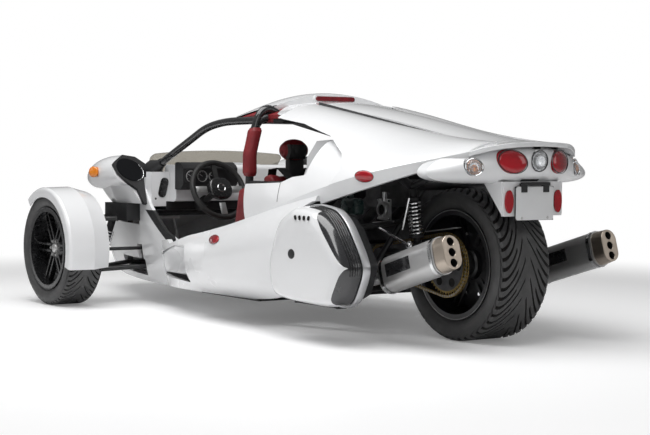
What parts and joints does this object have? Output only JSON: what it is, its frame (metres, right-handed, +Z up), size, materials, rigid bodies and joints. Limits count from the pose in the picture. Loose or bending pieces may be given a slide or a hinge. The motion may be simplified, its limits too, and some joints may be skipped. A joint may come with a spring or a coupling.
{
  "type": "three-wheeled car",
  "caption": "Open-sided three-wheeled sports car: steered front wheels under cycle fenders, rear drive wheel, roll cage, side-by-side seats, fastback body and a side luggage case.",
  "frame": {"origin": "on the ground under the middle of the overall length and width", "axes": "+X forward, +Y left, +Z up"},
  "size_m": [3.48, 1.98, 1.1026],
  "materials": {
    "body_white": "gloss white",
    "frame_black": "satin black",
    "tyre": "matt",
    "rim_black": "gloss black",
    "steel": "brushed",
    "tip_gold": "satin champagne",
    "engine_dark": "satin",
    "trim_black": "textured",
    "tint": "smoked",
    "lens_clear": "clear",
    "lens_red": "clear red",
    "lens_amber": "clear amber",
    "mirror": "mirror",
    "leather_red": "soft",
    "seat_leather": "soft",
    "chain_gold": "satin",
    "disc_steel": "brushed",
    "spring_chrome": "bright"
  },
  "bodies": {
    "chassis": {"chassis_frame": "frame_black", "frame_rail_left": "frame_black", "frame_rail_right": "frame_black", "roll_cage": "frame_black", "screen_bar_left": "frame_black", "screen_bar_right": "frame_black", "steering_column": "trim_black", "nose_body": "body_white", "belly_pan": "body_white", "floor_tub": "trim_black", "dashboard": "body_white", "gauge_cluster": "trim_black", "pedals": "steel", "seat_left": "seat_leather", "seat_right": "seat_leather", "windscreen": "tint", "headlamp_pods": "body_white", "clear_lamps": "lens_clear", "amber_markers": "lens_amber", "mirror_housings": "trim_black", "mirror_glasses": "mirror", "arm_covers": "trim_black", "front_arms": "frame_black", "front_shocks": "spring_chrome", "pods": "body_white", "cabin_panels": "body_white", "cage_pads": "leather_red", "roof_panel": "body_white", "quarters": "body_white", "engine_cover": "body_white", "spoiler": "body_white", "tail_panel": "body_white", "red_lamps": "lens_red", "plate_panel": "body_white", "plate_holder": "trim_black", "case_base": "trim_black", "engine": "engine_dark", "drive_chain": "chain_gold", "swingarm": "frame_black", "rear_shocks": "spring_chrome", "exhausts": "steel", "exhaust_tips": "tip_gold"},
    "rear_wheel": {"rear_tyre": "tyre", "rear_rim": "rim_black", "rear_disc": "disc_steel"},
    "steering_wheel_body": {"steering_wheel": "trim_black"},
    "lid_body": {"case_lid": "body_white"},
    "knuckle_body_left": {"knuckle_left": "engine_dark", "fender_left": "body_white"},
    "front_wheel_left": {"front_tyre_left": "tyre", "front_rim_left": "rim_black", "front_disc_left": "disc_steel"},
    "knuckle_body_right": {"knuckle_right": "engine_dark", "fender_right": "body_white"},
    "front_wheel_right": {"front_tyre_right": "tyre", "front_rim_right": "rim_black", "front_disc_right": "disc_steel"}
  },
  "joints": [
    {"name": "steer_left", "type": "hinge", "parent": "chassis", "child": "knuckle_body_left", "pos_m": [0.946, 0.788, 0.2955], "axis": [0, 0, 1], "range_deg": [-28, 28]},
    {"name": "steer_right", "type": "hinge", "parent": "chassis", "child": "knuckle_body_right", "pos_m": [0.946, -0.788, 0.2955], "axis": [0, 0, 1], "range_deg": [-28, 28]},
    {"name": "steering_wheel_turn", "type": "hinge", "parent": "chassis", "child": "steering_wheel_body", "pos_m": [0.386, 0.262, 0.61], "axis": [-0.9135, 0, 0.4067], "range_deg": [-301, 301]},
    {"name": "front_wheel_left_spin", "type": "hinge", "parent": "knuckle_body_left", "child": "front_wheel_left", "pos_m": [0.946, 0.876, 0.2955], "axis": [0, 1, 0], "continuous": true},
    {"name": "front_wheel_right_spin", "type": "hinge", "parent": "knuckle_body_right", "child": "front_wheel_right", "pos_m": [0.946, -0.876, 0.2955], "axis": [0, 1, 0], "continuous": true},
    {"name": "rear_wheel_spin", "type": "hinge", "parent": "chassis", "child": "rear_wheel", "pos_m": [-1.34, 0, 0.332], "axis": [0, 1, 0], "continuous": true},
    {"name": "case_lid_open", "type": "hinge", "parent": "chassis", "child": "lid_body", "pos_m": [-1.03, 0.636, 0.158], "axis": [-1, 0, 0], "range_deg": [0, 50]}
  ],
  "couplings": [
    {"joint": "steer_right", "follows": "steer_left", "ratio": 1},
    {"joint": "steering_wheel_turn", "follows": "steer_left", "ratio": 10.7}
  ]
}
